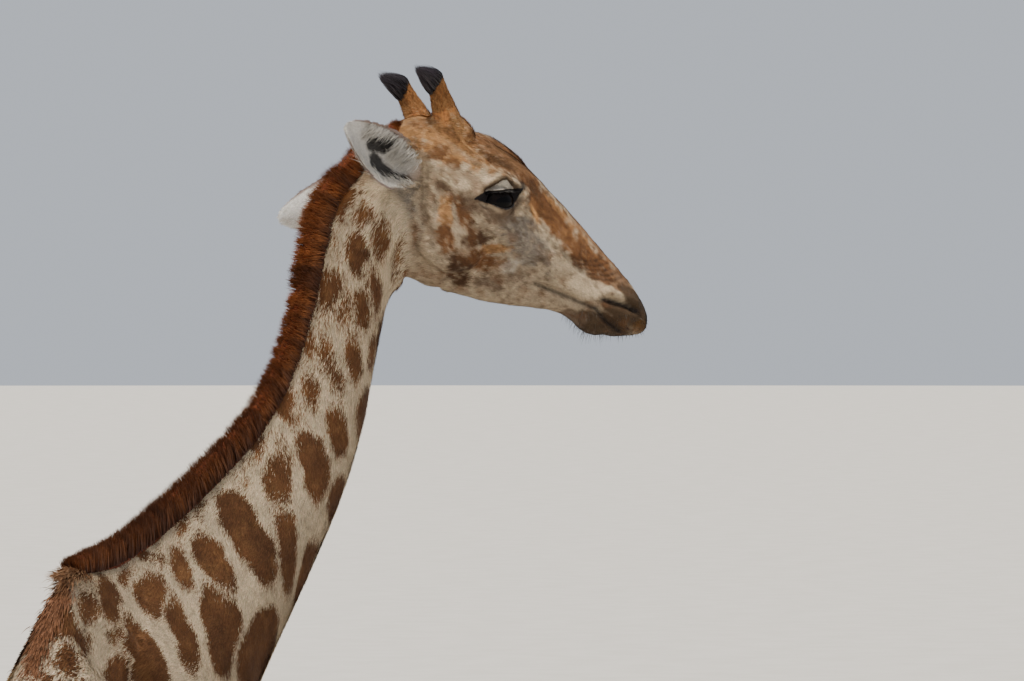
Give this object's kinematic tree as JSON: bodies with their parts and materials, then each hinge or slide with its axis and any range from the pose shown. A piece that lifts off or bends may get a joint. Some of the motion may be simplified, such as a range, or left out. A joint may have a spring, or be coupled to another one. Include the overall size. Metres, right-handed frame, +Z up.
{
  "type": "giraffe",
  "caption": "Life-size standing giraffe cow with patched coat, long neck, upright mane, tufted horns and her head turned to the right.",
  "frame": {"origin": "middle of the bottom of the giraffe's box, on the floor", "axes": "+X forward along the trunk, +Y to the animal's left, +Z up"},
  "size_m": [2.5804, 0.9816, 3.2557],
  "materials": {
    "coat": "short hair with brown patches on cream",
    "ear": "short pale hair",
    "eye": "wet, dark",
    "horn": "short tan hair",
    "horn_tuft": "black hair tuft",
    "hoof": "dull dark horn",
    "mane": "stiff rust-brown hair",
    "tail_tassel": "long black hair"
  },
  "bodies": {
    "root": {"ear_left": "ear", "ear_right": "ear", "eye_left": "eye", "eye_right": "eye", "foreleg_left_lower": "coat", "foreleg_left_upper": "coat", "foreleg_right_lower": "coat", "foreleg_right_upper": "coat", "head": "coat", "hindleg_left_lower": "coat", "hindleg_left_upper": "coat", "hindleg_right_lower": "coat", "hindleg_right_upper": "coat", "hoof_fore_left_left_claw": "hoof", "hoof_fore_left_right_claw": "hoof", "hoof_fore_right_left_claw": "hoof", "hoof_fore_right_right_claw": "hoof", "hoof_hind_left_left_claw": "hoof", "hoof_hind_left_right_claw": "hoof", "hoof_hind_right_left_claw": "hoof", "hoof_hind_right_right_claw": "hoof", "horn_left": "horn", "horn_right": "horn", "horn_tuft_left": "horn_tuft", "horn_tuft_right": "horn_tuft", "mane_lower": "mane", "mane_middle": "mane", "mane_upper": "mane", "neck_lower": "coat", "neck_middle": "coat", "neck_upper": "coat", "tail": "coat", "tail_tassel": "tail_tassel", "trunk": "coat"}
  },
  "joints": []
}
